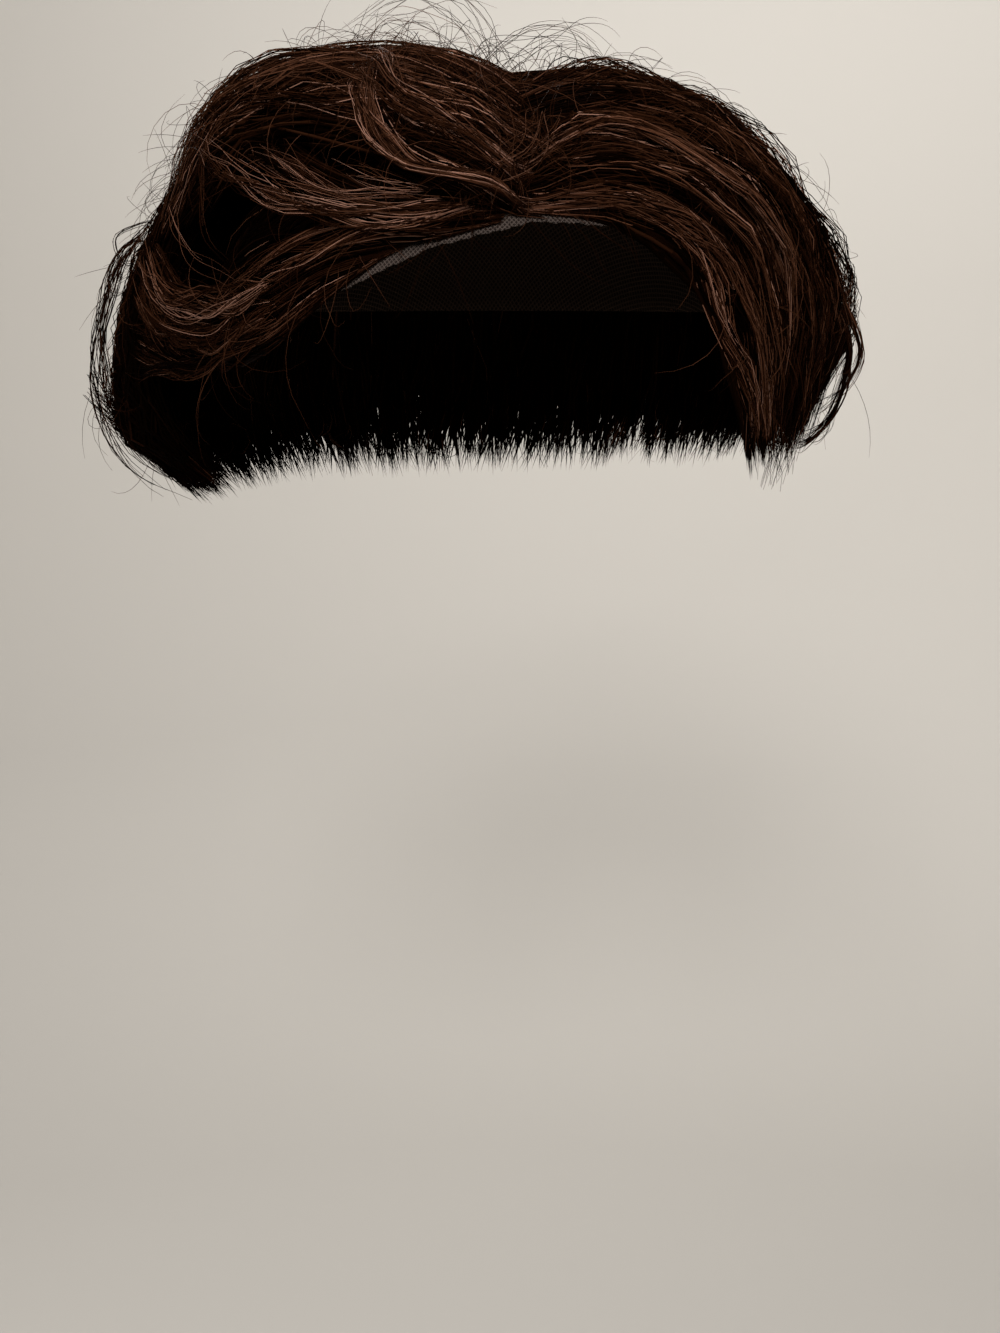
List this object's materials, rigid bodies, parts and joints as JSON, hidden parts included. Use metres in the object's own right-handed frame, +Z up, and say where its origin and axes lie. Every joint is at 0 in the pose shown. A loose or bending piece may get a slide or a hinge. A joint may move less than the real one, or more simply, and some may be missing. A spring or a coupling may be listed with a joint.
{
  "type": "hair topper",
  "caption": "Short wavy dark brown hair topper on a net base with a lace front edge, parted near the middle and swept to both sides, open below for the head.",
  "frame": {"origin": "the middle of the crown, on the inside of the net base, where it rests on the top of the head", "axes": "+Z up, -Y towards the forehead, +X to the right as seen from the front"},
  "size_m": [0.2218, 0.2164, 0.1264],
  "materials": {
    "hair": "dark brown hair with a soft shine",
    "base_net": "fine dark brown net",
    "lace": "sheer grey-brown lace"
  },
  "bodies": {
    "root": {"base_cap": "base_net", "front_lace": "lace", "hair_right_sweep": "hair", "hair_left_crest": "hair", "hair_left_temple": "hair", "hair_right_side": "hair", "hair_left_side": "hair", "hair_back": "hair"}
  },
  "joints": []
}
